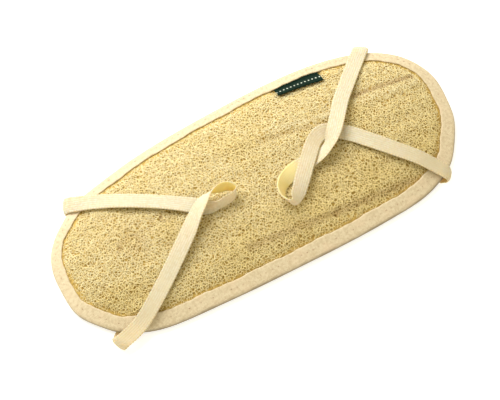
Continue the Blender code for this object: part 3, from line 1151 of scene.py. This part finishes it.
    def build(self) -> list[bpy.types.Object]:
        """Builds the loofah's pieces.

        Returns:
            The pieces, the body first.
        """
        straw = LoofahFinish("loofah_fibre", (0.99, 0.91, 0.62), (0.98, 0.82, 0.39),
                             (0.50, 0.27, 0.08), (0.93, 0.76, 0.31)).material()
        # painted shade: the body under the nets is dark ochre, darker than the fibres, standing for
        # the shade in the pits between them
        depth = LoofahFinish("loofah_painted_pit_shade", (0.62, 0.43, 0.11), (0.38, 0.25, 0.06),
                             (0.20, 0.10, 0.03), (0.37, 0.24, 0.06), 500.0, 0.3 * MM).material()
        body = self.body("loofah_body", depth)
        lower = Net("loofah_net_lower", cell=2.4 * MM, radius=0.26 * MM, drop=0.90 * MM,
                    missing=0.04, wander=0.6 * MM, seed=12)
        upper = Net("loofah_net_upper", cell=2.3 * MM, radius=0.23 * MM, drop=0.35 * MM,
                    missing=0.12, wander=0.8 * MM, seed=17)
        pieces = [body, self.net(lower, straw), self.net(upper, straw),
                  self.fibres("loofah_fibres", straw)]
        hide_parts(Body.LOOFAH.value)
        return pieces


@dataclass
class EdgeBinding:
    """Cotton tape folded round the rim and stitched through."""

    form: PadForm
    thick: float = 1.1 * MM
    under_width: float = 12.4 * MM
    under_level: float = 2.45 * MM
    rows: int = 720
    columns: int = 24
    stitch_pitch: float = 5.2 * MM
    stitch_line: float = 0.8
    sunk: float = 0.12 * MM
    stray: float = 0.35 * MM
    stray_waves: tuple = ((17, 1.0, 0.4), (41, 0.6, 2.0), (97, 0.4, 1.0))
    dimple: float = 0.22 * MM
    wave: float = 0.12 * MM
    wave_runs: tuple[float, float] = (7.3 * MM, 19 * MM)

    def edge_wander(self, station: int) -> float:
        """Returns how far the tape's inner edge strays at a station."""
        s = self.form.run[station % self.form.count] / self.form.perimeter() * 2 * math.pi
        return self.stray * sum(share * math.sin(count * s + phase)
                                for count, share, phase in self.stray_waves)

    def line(self, station: int) -> np.ndarray:
        """Returns the tape's middle line at a station, from its underside to its top edge.

        Args:
            station: the station.

        Returns:
            The line, as (inset, height) pairs.
        """
        half, low = self.thick / 2, self.under_level
        width = self.form.top_width[station % self.form.count] + self.edge_wander(station)
        line = [(self.under_width, low), (self.under_width * 0.6, low), (3.6 * MM, low),
                (1.6 * MM, low + 0.3 * MM), (half + 0.2 * MM, low + 1.2 * MM),
                (half, low + 2.7 * MM), (half + 0.5 * MM, low + 4.1 * MM)]
        for inset in (2.2 * MM, 5.2 * MM, (5.2 * MM + width) / 2, width):
            line.append((inset, float(self.form.crown(np.array(inset))) - half))
        return refine(np.array(line), self.columns)

    def pucker(self, run: float, line: np.ndarray) -> np.ndarray:
        """Returns the small rise and fall of the cloth between its stitches.

        Args:
            run: the distance along the tape.
            line: the middle line there.

        Returns:
            The rise at each point.
        """
        share = np.linspace(0.0, 1.0, len(line))
        near = np.exp(-((share - self.stitch_line) / 0.1) ** 2)
        sunk = 0.5 + 0.5 * math.cos(2 * math.pi * run / self.stitch_pitch)
        short, long = self.wave_runs
        wave = math.sin(run / short) * math.sin(run / long + 1.0)
        return -self.dimple * near * sunk + self.wave * wave * smooth_step((share - 0.55) * 4)

    def build(self) -> list[bpy.types.Object]:
        """Builds the tape and its stitches.

        Returns:
            The pieces, the tape first.
        """
        # The binding's finish paints shade on the rim's lower outer face, from 13.6 mm across the
        # tape.
        cotton = CottonFinish("binding_cotton", Weave.TWILL, (0.83, 0.73, 0.53), (0.58, 0.46, 0.28),
                              (0.77, 0.61, 0.42), 1.6 * MM, 0.20 * MM,
                              painted_rim_shade_at=13.6 * MM).material()
        form = self.form
        step = form.count // self.rows
        run = np.append(form.run[::step], form.perimeter())
        rings, reaches = [], []
        for i in range(self.rows):
            line = self.line(i * step)
            line[:, 1] += self.pucker(run[i], line)
            section = thick_section(line, self.thick * 0.98)
            rings.append(form.ring(i * step, section))
            reaches.append(np.linalg.norm(np.diff(line, axis=0), axis=1).sum())
        reach = float(np.mean(reaches))
        half = np.linspace(0.0, reach, self.columns)
        across = np.concatenate([half, half[::-1]])
        tape = sweep("edge_binding_tape", np.array(rings), run, across, cotton, closed=True)
        stitches = self.stitches()
        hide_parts(Body.BINDING.value)
        form.perimeter()
        return [tape, stitches]

    def stitches(self) -> bpy.types.Object:
        """Builds the thread, one short stitch at each step along both faces of the tape.

        Returns:
            The stitches.
        """
        thread = PlainFinish("stitch_thread", (0.56, 0.38, 0.25), (0.42, 0.28, 0.18),
                             0.7).material()
        bm = bmesh.new()
        over, under = [], []
        bottom = self.under_level - self.thick / 2 + self.sunk
        for i in range(0, self.form.count, 2):
            inset, level = self.line(i)[int(self.stitch_line * (self.columns - 1))]
            top = level + self.thick / 2 - self.sunk
            over.append(bm.verts.new(self.form.spot(i, inset, top)))
            under.append(bm.verts.new(self.form.spot(i, inset, bottom)))
        for row in (over, under):
            for a, b in zip(row, row[1:] + row[:1]):
                bm.edges.new((a, b))
        source = add_piece("stitch_source", bm, thread)
        graph = Graph("binding_stitches", {"Pitch": self.stitch_pitch, "Length": 1.1 * MM,
                                           "Radius": 0.25 * MM})
        curve = graph.node("GeometryNodeMeshToCurve", None, {"Mesh": graph.mesh()})
        spots = graph.node("GeometryNodeCurveToPoints", {"mode": "LENGTH"},
                           {"Curve": curve, "Length": graph.size("Pitch")}).node
        step = graph.maths("DIVIDE", graph.size("Length"), 3.0)
        offset = graph.node("ShaderNodeCombineXYZ", None, {2: step})
        line = graph.node("GeometryNodeMeshLine", {"mode": "OFFSET"},
                          {"Count": 4, "Offset": offset})
        thread_line = graph.node("GeometryNodeMeshToCurve", None, {"Mesh": line})
        stitch = graph.tube(thread_line, graph.size("Radius"), 6)
        laid = graph.node("GeometryNodeInstanceOnPoints", None,
                          {"Points": spots.outputs["Points"], "Instance": stitch,
                           "Rotation": spots.outputs["Rotation"],
                           "Scale": graph.random(0.5, 1.3, 3)})
        return graph.run(source, "binding_stitches", laid, thread)


@dataclass
class HandStrap:
    """One ribbed cotton tape, folded over the rim and looped on the loofah."""

    name: str
    body: Body
    path: tuple
    width: float = 12.8 * MM
    thick: float = 1.1 * MM
    pitch: float = 0.62 * MM
    columns: int = 29
    ribs: int = 7
    tooth_pitch: float = 2.4 * MM
    tooth: float = 0.32 * MM
    corner: float = 1.6 * MM
    fold_radius: float = 6 * MM
    fold_top: float = 13 * MM
    samples_each: int = 12
    narrow: float = 0.985
    outside: int = 1

    def samples(self) -> tuple[np.ndarray, np.ndarray]:
        """Returns the tape's middle points and its directions across, evenly along its path.

        Returns:
            The points and the directions.
        """
        knots = np.array([row[:3] for row in self.path]) * MM
        azimuth = np.radians([row[3] for row in self.path])
        tilt = np.radians([row[4] for row in self.path])
        cross = np.stack([np.cos(azimuth) * np.cos(tilt), np.sin(azimuth) * np.cos(tilt),
                          np.sin(tilt)], 1)
        gaps = np.linalg.norm(np.diff(knots, axis=0), axis=1)
        time = np.concatenate([[0.0], np.cumsum(np.sqrt(gaps))])

        def spline(values: np.ndarray) -> np.ndarray:
            """Returns smoothed samples from each station to the next.

            Args:
                values: the stations' values.

            Returns:
                The samples.
            """
            slope = np.gradient(values, time, axis=0)
            t = np.linspace(0.0, 1.0, self.samples_each + 1)[:-1, None]
            out = [between(t, time[i + 1] - time[i], values[i:i + 2], slope[i:i + 2])
                   for i in range(len(values) - 1)]
            return np.vstack([*out, values[-1:]])

        centre, side = spline(knots), spline(cross)
        run = distances(centre)
        even = np.linspace(0.0, run[-1], int(run[-1] / self.pitch) | 1)
        centre = np.stack([np.interp(even, run, centre[:, k]) for k in range(3)], 1)
        side = np.stack([np.interp(even, run, side[:, k]) for k in range(3)], 1)
        ahead = headings(centre)
        side -= (side * ahead).sum(1)[:, None] * ahead
        side /= np.linalg.norm(side, axis=1)[:, None]
        return centre, side

    def corners(self, centre: np.ndarray, ahead: np.ndarray) -> np.ndarray:
        """Returns how far each section's selvedges are drawn in where the tape folds over the rim.

        Args:
            centre: the tape's middle points.
            ahead: the tape's directions there.

        Returns:
            The shift of a selvedge at each point.
        """
        turn = np.gradient(ahead, np.linalg.norm(centre[1] - centre[0]), axis=0)
        tight = np.linalg.norm(turn, axis=1)
        share = (smooth_step((tight * self.fold_radius - 0.3) / 0.7)
                 * smooth_step((self.fold_top - centre[:, 2]) / (4 * MM)))
        soft = np.convolve(share, np.hanning(9) / np.hanning(9).sum(), mode="same")
        return turn / np.maximum(tight, 1e-6)[:, None] * soft[:, None] * self.corner

    def build(self) -> list[bpy.types.Object]:
        """Builds the strap.

        Returns:
            The strap.
        """
        centre, side = self.samples()
        length = float(np.linalg.norm(np.diff(centre, axis=0), axis=1).sum())
        along = np.linspace(0.0, length, len(centre))
        # The strap's finish paints shade towards its start and bounce light on the inner side of
        # its loop.
        cotton = CottonFinish(self.name + "_cotton", Weave.RIBBED, (0.70, 0.64, 0.52),
                              (0.61, 0.51, 0.33), (0.70, 0.61, 0.44), self.width / self.ribs,
                              0.10 * MM, glow=0.6, width=self.width,
                              notch_pitch=self.tooth_pitch, painted_end_shade_run=130 * MM,
                              painted_bounce=(0.90, 0.74, 0.34),
                              painted_bounce_at=float(along[np.abs(centre[:, 0]).argmin()])).material()
        ahead = headings(centre)
        up = np.cross(side, ahead)
        share = np.linspace(-0.5, 0.5, self.columns)
        rib = np.abs(np.sin(np.pi * (share + 0.5) * self.ribs))
        edge = smooth_step((0.5 - np.abs(share)) / 0.05)
        lift = self.thick / 2 * (0.48 + 0.30 * edge + 0.22 * rib)
        across = np.concatenate([share, share[::-1]])
        offset = np.concatenate([lift, -lift[::-1]])
        rings = []
        drawn = self.corners(centre, ahead)
        for i, (c, s, u) in enumerate(zip(centre, side, up)):
            bump = max(0.0, math.sin(2 * math.pi * i * self.pitch / self.tooth_pitch))
            outer = np.where(np.abs(across) > 0.49, 1.0 + self.tooth * bump / self.width * 2,
                             self.narrow)
            wide = across * outer * self.width * self.narrow
            rings.append(c + np.outer(wide, s) + np.outer(offset, u)
                         + np.outer(np.abs(2 * across) ** 3, drawn[i]))
        over = np.repeat([-1.0, 1.0], self.columns) * self.outside
        strap = sweep(self.name, np.array(rings), along, (across + 0.5) * over * self.width, cotton,
                      closed=False)
        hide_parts(self.body.value)
        return [strap]


@dataclass
class Backing:
    """Plain cotton cloth under the loofah: a shallow dish with a flat middle."""

    form: PadForm
    thick: float = 1.0 * MM
    edge_inset: float = 4.0 * MM
    edge_level: float = 3.3 * MM
    shelf: float = 13.0 * MM
    flat_inset: float = 22.0 * MM
    rows: int = 360
    patch: float = 8.0 * MM
    patch_reach: tuple[float, float] = (0.176, 0.088)
    patch_inset: float = 33 * MM

    def fill(self, bm: bmesh.types.BMesh, ring: list[bmesh.types.BMVert]) -> None:
        """Closes a level ring with even triangles.

        Args:
            bm: the mesh.
            ring: the ring's points.
        """
        x, y = np.meshgrid(*(np.arange(-far, far + MM, self.patch) for far in self.patch_reach))
        spots = np.stack([x.ravel(), y.ravel()], 1)
        inside = spots[self.form.nearest(spots)[1] > self.patch_inset]
        verts = [*ring, *(bm.verts.new((*p, ring[0].co.z)) for p in inside)]
        triangulate(bm, verts, len(ring))

    def build(self) -> list[bpy.types.Object]:
        """Builds the cloth.

        Returns:
            The cloth.
        """
        cotton = CottonFinish("backing_cotton", Weave.PLAIN, (0.70, 0.63, 0.47), (0.54, 0.46, 0.32),
                              (0.66, 0.57, 0.40), 2.2 * MM, 0.06 * MM, contrast=(0.38, 0.56),
                              fuzz=600.0).material()
        step = self.form.count // self.rows
        bottom = ((self.edge_inset, self.edge_level), (self.shelf, self.edge_level),
                  (16.0 * MM, 2.2 * MM), (self.flat_inset, 0.0), (30 * MM, 0.0))
        bm = bmesh.new()
        layer = bm.loops.layers.uv.new("cloth")

        def ring(inset: float, level: float) -> list[bmesh.types.BMVert]:
            """Adds one ring of points."""
            return [bm.verts.new(self.form.spot(i * step, inset, level)) for i in range(self.rows)]

        under = [ring(*pair) for pair in bottom]
        over = [ring(inset, level + self.thick) for inset, level in bottom]
        chain = [*under[::-1], *over]
        for a, b in zip(chain, chain[1:]):
            for i in range(self.rows):
                k = (i + 1) % self.rows
                bm.faces.new((a[i], a[k], b[k], b[i]))
        self.fill(bm, under[-1])
        self.fill(bm, over[-1])
        for face in bm.faces:
            for loop in face.loops:
                loop[layer].uv = loop.vert.co.xy
        cloth = add_piece("backing_sheet", bm, cotton)
        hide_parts(Body.BACKING.value)
        return [cloth]


@dataclass
class Label:
    """Folded woven tab with its root under the binding."""

    form: PadForm
    x: float = 74 * MM
    length: float = 38.5 * MM
    skew: float = 0.035
    root: float = 6.5 * MM
    reach: float = 18.5 * MM
    layer: float = 0.35 * MM
    spacing: float = 0.75 * MM
    sunk: float = 2.1 * MM
    rise: float = 2.4 * MM
    rise_run: float = 7 * MM
    shares: tuple[float, ...] = (0.55, 0.8, 1.0)
    columns: int = 34
    rows: int = 60

    def build(self) -> list[bpy.types.Object]:
        """Builds the label.

        Returns:
            The label.
        """
        satin = LabelFinish("label_satin", (0.002, 0.013, 0.008), (0.006, 0.028, 0.017),
                            (0.72, 0.80, 0.68)).material()
        half, reach = self.spacing / 2, self.reach
        flat = [self.root, *(reach * share for share in self.shares)]
        profile = [*((inset, -half) for inset in flat), (reach + half, 0.0),
                   *((inset, half) for inset in flat[::-1])]
        line = refine(np.array(profile), self.columns)
        section = thick_section(line, self.layer)
        rings = []
        for u in np.linspace(0.0, 1.0, self.rows + 1):
            x = self.x + self.length * (u - 0.5)
            inset = section[:, 0]
            out = (inset - self.root) / (reach - self.root)
            inset = inset + self.skew * (x - self.x) * 2.0 * out
            close = np.abs(self.form.points[:, 0] - x) < 2 * MM
            edge = self.form.points[close][:, 1].max()
            xy = np.stack([np.full(len(inset), x), edge - inset], 1)
            station, true = self.form.nearest(xy)
            rise = smooth_step((true - self.form.top_width[station] - 0.3 * MM) / self.rise_run)
            level = self.form.crown(true) - self.sunk + self.rise * rise + section[:, 1]
            rings.append(np.hstack([xy, level[:, None]]))
        run = np.linalg.norm(np.diff(line, axis=0), axis=1).sum()
        across = np.abs(np.linspace(-run / 2, run / 2, len(line)))
        across = np.concatenate([across, across[::-1]])
        along = np.linspace(0.0, self.length, self.rows + 1)
        tab = sweep("woven_label", np.array(rings), along, across, satin, closed=False)
        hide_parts(Body.LABEL.value)
        return [tab]


# Strap paths, in millimetres: x, y, z of the tape's middle, then the direction from one selvedge
# to the other as a plan angle and a tilt in degrees. They are the solids' own stations, except that
# the left strap's loop stands more on edge.
LEFT_PATH = (
    (-135.5, -42.0, 0.95, 114, 0), (-142.5, -47.2, 0.95, 115, 0), (-149.0, -52.6, 1.00, 115, 0),
    (-154.6, -57.2, 2.40, 114, 0), (-156.6, -58.8, 5.80, 113, 0), (-153.0, -58.8, 9.60, 113, 0),
    (-145.5, -57.4, 11.0, 112, 0), (-133.8, -54.0, 12.8, 113, 0), (-118.0, -45.8, 18.0, 119, 0),
    (-99.0, -33.3, 22.0, 124, 0), (-81.5, -20.9, 26.2, 126, 0), (-66.5, -9.9, 29.6, 127, -8),
    (-55.6, -1.2, 32.4, 127, -28), (-46.6, 4.6, 34.6, 124, -40), (-38.4, 8.5, 34.8, 118, -68),
    (-29.6, 9.0, 33.2, 282, -78), (-21.6, 7.0, 31.6, 255, -76), (-17.8, 2.8, 30.6, 200, -84),
    (-20.8, -0.8, 30.2, 250, -78), (-28.6, -1.8, 29.4, 255, -74), (-36.6, -1.6, 28.6, 250, -76),
    (-45.6, 3.0, 26.0, 247, -30), (-56.5, 11.6, 25.0, 240, 4), (-71.0, 21.9, 25.0, 240, 12),
    (-89.5, 33.9, 23.8, 240, 14), (-107.5, 45.3, 20.0, 240, 12), (-122.5, 53.9, 16.0, 242, 6),
    (-132.6, 59.2, 12.6, 244, -2), (-139.0, 62.6, 9.60, 246, -8), (-141.6, 63.6, 5.80, 247, -8),
    (-139.0, 62.0, 2.20, 246, -4), (-134.6, 59.6, 1.00, 246, 0), (-129.4, 56.8, 0.95, 246, 0),
)
RIGHT_PATH = (
    (129.4, -50.4, 0.95, 47, 0), (132.8, -53.6, 0.95, 47, 0), (136.6, -57.0, 0.95, 48, 0),
    (141.4, -61.2, 1.90, 49, -2), (143.6, -63.0, 6.00, 50, -8), (140.6, -59.6, 11.2, 49, -10),
    (134.4, -52.0, 15.2, 46, -10), (124.5, -40.6, 20.8, 43, -9), (110.5, -25.6, 24.0, 41, -6),
    (96.5, -10.0, 25.4, 42, -2), (86.0, 1.5, 25.4, 47, 0), (76.5, 8.9, 26.0, 66, 4),
    (67.0, 12.3, 27.8, 92, 18), (58.2, 9.3, 30.0, 116, 24), (49.4, 1.7, 31.2, 132, 14),
    (40.2, -7.6, 31.2, 137, 10), (31.4, -16.6, 30.2, 139, 16), (23.8, -24.0, 28.6, 141, 36),
    (17.4, -27.6, 28.2, 150, 62), (13.4, -22.8, 28.4, 146, 64), (14.0, -15.2, 28.4, 134, 58),
    (19.5, -9.2, 27.6, 124, 44), (28.8, -5.4, 25.8, 116, 20), (39.5, -3.3, 25.2, 112, 0),
    (49.0, -3.3, 26.0, 118, -16), (58.0, -3.1, 28.6, 126, -38), (66.0, 0.1, 31.0, 132, -46),
    (73.5, 6.7, 33.6, 138, -20), (82.5, 16.5, 32.0, 146, -8), (93.5, 29.3, 28.0, 150, -2),
    (106.5, 41.5, 22.8, 151, 0), (118.5, 52.5, 17.6, 151, 0), (129.0, 62.0, 12.8, 151, 0),
    (134.8, 67.4, 9.90, 151, 0), (137.2, 69.8, 5.60, 151, 2), (135.0, 67.6, 1.90, 150, 1),
    (131.0, 63.2, 0.95, 149, 0), (126.6, 58.2, 0.95, 148, 0),
)


@dataclass
class Studio:
    """Pale floor, soft light and the camera."""

    azimuth: float = -29.0
    elevation: float = 70.0
    distance: float = 1.5
    lens: float = 135.06
    aim_up: float = 0.010
    shift_right: float = 5.36 * MM
    shift_up: float = 7.6 * MM
    floor_radius: float = 3.0
    floor_glow: Colour = (0.92, 0.95, 1.0)
    floor_strength: float = 0.56
    sky: Colour = (1.0, 0.92, 0.68)
    sky_strength: float = 0.7
    key_place: tuple[float, float, float] = (-0.10, 0.42, 0.61)
    key_size: float = 0.55
    key_power: float = 6.0

    def build(self) -> None:
        """Builds the floor, lights and camera."""
        self.floor()
        self.lights()
        self.camera()

    def floor(self) -> None:
        """Lays a plain pale floor."""
        white = PlainFinish("floor_white", (0.95, 0.95, 0.95), (0.94, 0.94, 0.94), 0.9,
                            5.0).material()
        glow = white.node_tree.nodes["Principled BSDF"].inputs
        glow["Emission Color"].default_value = (*self.floor_glow, 1.0)
        glow["Emission Strength"].default_value = self.floor_strength
        bm = bmesh.new()
        bmesh.ops.create_circle(bm, cap_ends=True, segments=96, radius=self.floor_radius)
        floor = add_piece("studio_floor", bm, white, smooth=False)

    def lights(self) -> None:
        """Adds a broad key from the upper left and an even sky."""
        world = bpy.data.worlds.new("studio_sky")
        world.use_nodes = True
        sky = world.node_tree.nodes["Background"].inputs
        sky["Color"].default_value = (*self.sky, 1.0)
        sky["Strength"].default_value = self.sky_strength
        bpy.context.scene.world = world
        key = bpy.data.lights.new("key", "AREA")
        key.shape = "DISK"
        key.size = self.key_size
        key.energy = self.key_power
        lamp = bpy.data.objects.new("key", key)
        lamp.visible_camera = False
        place = Vector(self.key_place)
        lamp.location = place
        lamp.rotation_euler = (Vector((0, 0, 0.01)) - place).to_track_quat("-Z", "Y").to_euler()
        bpy.context.scene.collection.objects.link(lamp)

    def camera(self) -> None:
        """Sets the camera at the photograph's angle."""
        a, e = math.radians(self.azimuth), math.radians(self.elevation)
        back = Vector((math.sin(a) * math.cos(e), -math.cos(a) * math.cos(e), math.sin(e)))
        right = Vector((math.cos(a), math.sin(a), 0.0))
        up = back.cross(right)
        target = Vector((0, 0, self.aim_up)) - right * self.shift_right - up * self.shift_up
        lens = bpy.data.cameras.new("camera")
        lens.lens = self.lens
        lens.clip_start, lens.clip_end = 0.05, 20.0
        eye = bpy.data.objects.new("camera", lens)
        eye.location = target + back * self.distance
        eye.rotation_euler = (-back).to_track_quat("-Z", "Y").to_euler()
        bpy.context.scene.collection.objects.link(eye)
        bpy.context.scene.camera = eye


def main() -> None:
    """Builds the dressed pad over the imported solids."""
    logging.basicConfig(level=logging.INFO, format="%(name)s: %(message)s")
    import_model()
    scene = bpy.context.scene
    scene.view_settings.view_transform = "Standard"
    Studio().build()
    form = PadForm()
    label = Label(form)
    parts = (
        LoofahCore(form, label),
        Backing(form),
        EdgeBinding(form),
        HandStrap("hand_strap_left_tape", Body.STRAP_LEFT, LEFT_PATH),
        HandStrap("hand_strap_right_tape", Body.STRAP_RIGHT, RIGHT_PATH, outside=-1),
        label,
    )
    for part in parts:
        for piece in part.build():
            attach(piece, "root")
            LOG.info("%s: %d faces", piece.name, len(piece.data.polygons))


if __name__ == "__main__":
    main()
